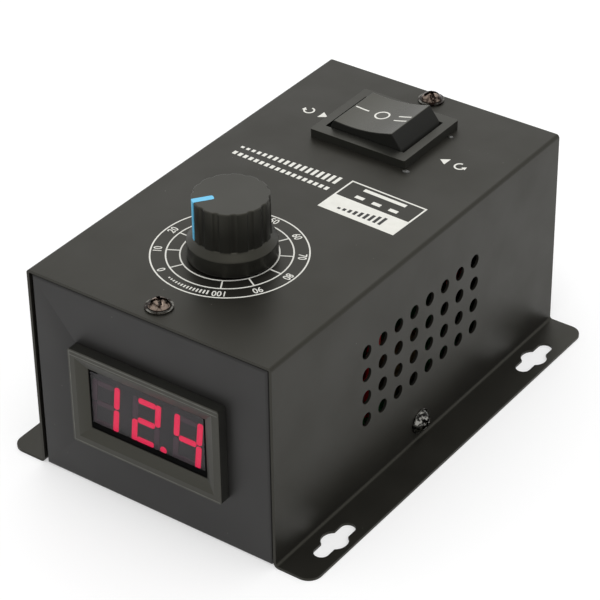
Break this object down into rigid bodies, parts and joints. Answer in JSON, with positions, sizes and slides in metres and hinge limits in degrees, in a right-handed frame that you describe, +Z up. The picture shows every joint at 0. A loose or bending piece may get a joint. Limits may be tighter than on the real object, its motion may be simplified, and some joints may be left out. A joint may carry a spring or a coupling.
{
  "type": "dc motor speed controller",
  "caption": "Sheet-steel speed controller box with a speed dial and knob, a direction rocker switch, a panel meter, side vents, slotted flanges and a rear terminal block.",
  "frame": {"origin": "middle of the casing's underside", "axes": "+X to the right seen from the front, +Y towards the back, +Z up"},
  "size_m": [0.1006, 0.1517, 0.0808],
  "materials": {
    "casing": "matt black powder coat with a fine grain",
    "chassis": "matt black powder coat",
    "casing_screws": "bronze-black plated steel",
    "meter_plastic": "moulded black, satin",
    "meter_window": "smoked clear acrylic",
    "display": "grey display face",
    "lit_segments": "glowing red",
    "dark_segments": "unlit, faint purple",
    "circuit_board": "green solder mask",
    "knob": "moulded black, fine grain on the top",
    "pointer": "light blue inlay",
    "bright_steel": "zinc or nickel plated",
    "brass": "bright",
    "pot_track": "carbon track on brown laminate",
    "switch_plastic": "moulded black nylon",
    "rocker": "satin black",
    "white_plastic": "natural nylon",
    "red_insulation": "red PVC",
    "black_insulation": "black PVC",
    "yellow_insulation": "yellow PVC",
    "aluminium": "extruded, plain",
    "transistor_pad": "grey-blue silicone pad",
    "black_epoxy": "moulded epoxy",
    "capacitor_sleeve": "shrunk dark blue sleeve",
    "film_capacitor": "yellow box",
    "copper": "bare copper alloy",
    "terminal_block": "moulded black phenolic"
  },
  "bodies": {
    "casing": {"cover": "casing", "chassis": "chassis", "top_screws": "casing_screws", "side_screws": "casing_screws", "meter_housing": "meter_plastic", "meter_window": "meter_window", "meter_display": "display", "meter_lit_segments": "lit_segments", "meter_dark_segments": "dark_segments", "meter_board": "circuit_board", "meter_back": "meter_plastic", "pot_bushing": "bright_steel", "pot_can": "bright_steel", "pot_track": "pot_track", "pot_lugs": "brass", "pot_washer": "bright_steel", "pot_nut": "bright_steel", "switch_housing": "switch_plastic", "switch_terminals": "brass", "switch_receptacles": "red_insulation", "main_board": "circuit_board", "board_spacers": "bright_steel", "board_screws": "bright_steel", "heatsink": "aluminium", "transistor_pads": "transistor_pad", "power_transistors": "black_epoxy", "transistor_screws": "bright_steel", "storage_capacitors": "capacitor_sleeve", "film_capacitor": "film_capacitor", "freewheel_diode": "black_epoxy", "current_shunt": "copper", "control_chip": "black_epoxy", "signal_headers": "white_plastic", "signal_plugs": "white_plastic", "terminal_block": "terminal_block", "terminal_strips": "brass", "terminal_clamps": "bright_steel", "terminal_screws": "bright_steel", "block_screws": "bright_steel", "block_nuts": "bright_steel", "supply_lead_red": "red_insulation", "supply_lead_black": "black_insulation", "motor_leads": "yellow_insulation", "switch_lead_red": "red_insulation", "switch_lead_black": "black_insulation", "pot_leads": "red_insulation", "meter_leads": "red_insulation"},
    "speed_knob": {"knob": "knob", "knob_pointer": "pointer", "pot_shaft": "bright_steel", "pot_wiper": "brass"},
    "direction_rocker": {"switch_rocker": "rocker", "switch_plungers": "white_plastic", "switch_springs": "bright_steel"},
    "contact_levers": {"switch_levers": "brass"}
  },
  "joints": [
    {"name": "knob_turn", "type": "hinge", "parent": "casing", "child": "speed_knob", "pos_m": [0.0009, -0.0324, 0.0623], "axis": [0, 0, -1], "range_deg": [-7, 293]},
    {"name": "rocker_tilt", "type": "hinge", "parent": "casing", "child": "direction_rocker", "pos_m": [-0.0019, 0.0413, 0.0603], "axis": [0, 1, 0], "range_deg": [0, 12]},
    {"name": "lever_tilt", "type": "hinge", "parent": "casing", "child": "contact_levers", "pos_m": [-0.0019, 0.0413, 0.0473], "axis": [0, 1, 0], "range_deg": [-16, 0]}
  ],
  "couplings": [
    {"joint": "lever_tilt", "follows": "rocker_tilt", "ratio": -1.3333}
  ]
}
